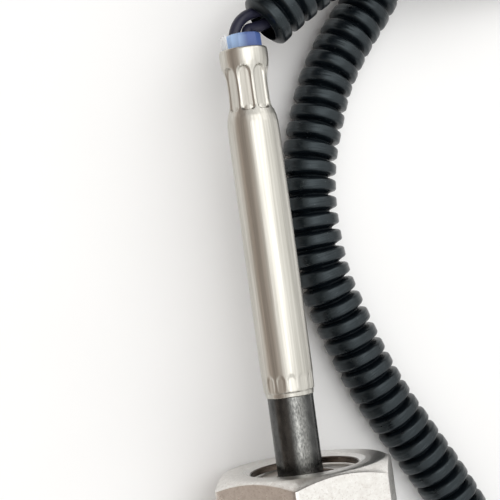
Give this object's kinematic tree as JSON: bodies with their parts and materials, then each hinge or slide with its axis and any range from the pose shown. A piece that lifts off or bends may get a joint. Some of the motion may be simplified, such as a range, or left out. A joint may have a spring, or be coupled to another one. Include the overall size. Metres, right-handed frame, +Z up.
{
  "type": "exhaust gas temperature sensor",
  "caption": "Slim sheathed probe with a loose threaded hexagon fitting, a crimped joint sleeve and a lead in black corrugated conduit that ends in a sealed plug.",
  "frame": {"origin": "centre of the box round probe and fitting, without the lead, at the height of the flat that the nut lies on", "axes": "Y runs along the probe, from the tip at -Y to the cable end at +Y; +Z is up; the lead loops out on the +X side"},
  "size_m": [0.1068, 0.2064, 0.022],
  "materials": {
    "sheath": "heat-darkened satin alloy",
    "fitting": "matt blasted steel",
    "seat": "turned",
    "sleeve": "drawn stainless, satin",
    "mineral": "pressed powder, matt",
    "element": "matt",
    "lead_metal": "drawn wire",
    "insulator": "matt",
    "splice_metal": "crimped",
    "wire_light": "smooth insulation",
    "wire_dark": "smooth insulation",
    "seal_blue": "smooth silicone",
    "film": "milky clear film",
    "conduit_black": "semi-gloss corrugated nylon",
    "boot_black": "satin",
    "housing_black": "fine satin",
    "seal_rust": "smooth silicone",
    "contact": "tinned",
    "lock_grey": "satin"
  },
  "bodies": {
    "probe": {"probe_tube": "sheath", "mineral_core": "mineral", "tip_cement": "mineral", "sensing_element": "element", "element_lead_a": "lead_metal", "element_lead_b": "lead_metal", "crimp_sleeve": "sleeve", "joint_insulator": "insulator", "splice_a": "splice_metal", "splice_b": "splice_metal", "lead_wire_a": "wire_light", "lead_wire_b": "wire_dark", "cable_seal": "seal_blue", "liner_film": "film", "conduit": "conduit_black", "conduit_boot": "boot_black", "connector_housing": "housing_black", "interface_seal": "seal_rust", "terminal_a": "contact", "terminal_b": "contact", "wire_seal_a": "seal_rust", "wire_seal_b": "seal_rust", "terminal_lock": "lock_grey"},
    "seat": {"seat_ferrule": "seat"},
    "fitting": {"fitting_nut": "fitting"}
  },
  "joints": [
    {"name": "ferrule_slide", "type": "slide", "parent": "probe", "child": "seat", "axis": [0, 1, 0], "range_m": [-0.0067, 0.009]},
    {"name": "nut_spin", "type": "hinge", "parent": "seat", "child": "fitting", "pos_m": [0, -0.009, 0.011], "axis": [0, 1, 0], "continuous": true}
  ]
}
